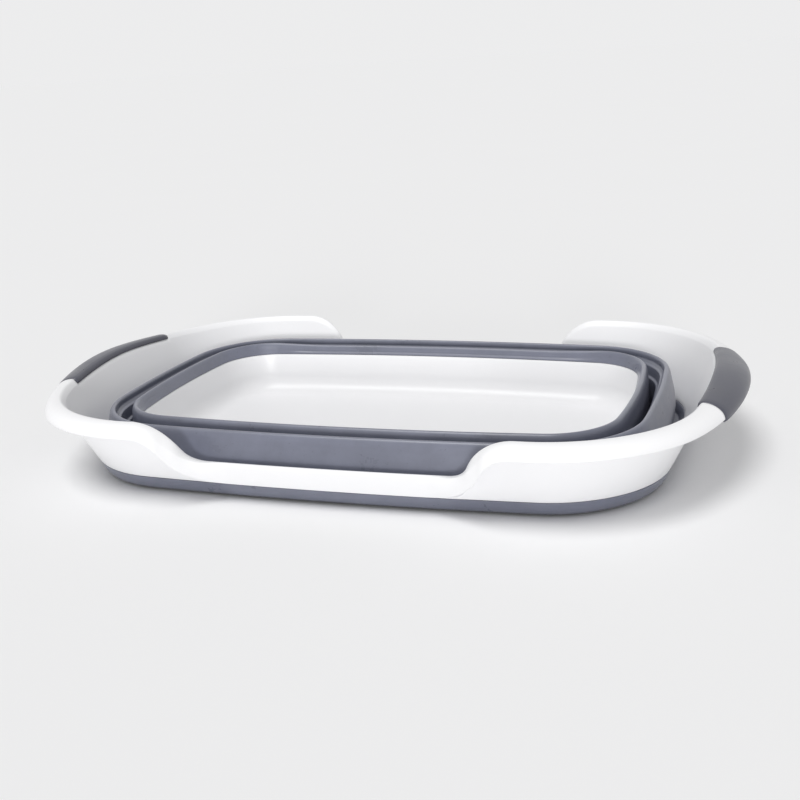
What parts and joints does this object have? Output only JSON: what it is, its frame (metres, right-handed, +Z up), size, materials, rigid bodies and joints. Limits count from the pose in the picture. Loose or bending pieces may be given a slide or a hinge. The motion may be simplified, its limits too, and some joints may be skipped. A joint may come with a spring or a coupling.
{
  "type": "collapsible wash basin",
  "caption": "Folding wash tub with a hard rolled rim, gripped handles at both ends and a soft two-stage folding wall round a hard tray.",
  "frame": {"origin": "middle of the footprint, on the surface that the tub stands on", "axes": "+X along the tub's length towards the right handle, +Y towards the rear long side, +Z up"},
  "size_m": [0.5968, 0.379, 0.0759],
  "materials": {
    "hard_white": "glossy moulded polypropylene",
    "soft_grey": "satin thermoplastic elastomer",
    "pad_grey": "matt thermoplastic elastomer"
  },
  "bodies": {
    "tray": {"base_tray": "hard_white", "foot_pad_front_left": "pad_grey", "foot_pad_front_right": "pad_grey", "foot_pad_rear_left": "pad_grey", "foot_pad_rear_right": "pad_grey", "tray_collar": "soft_grey", "inner_crest_bead": "soft_grey"},
    "fold_ring": {"inner_fold_wall": "soft_grey", "lower_fold_gutter": "soft_grey", "ledge_wall": "soft_grey", "outer_crest_bead": "soft_grey"},
    "rim": {"outer_fold_wall": "soft_grey", "frame_base_band": "soft_grey", "rim_frame": "hard_white", "left_handle_grip": "soft_grey", "right_handle_grip": "soft_grey"}
  },
  "joints": [
    {"name": "inner_fold", "type": "slide", "parent": "tray", "child": "fold_ring", "axis": [0, 0, 1], "range_m": [0, 0.0858], "deforming": ["inner_fold_wall"]},
    {"name": "outer_fold", "type": "slide", "parent": "fold_ring", "child": "rim", "axis": [0, 0, 1], "range_m": [0, 0.0862], "deforming": ["outer_fold_wall"]}
  ]
}
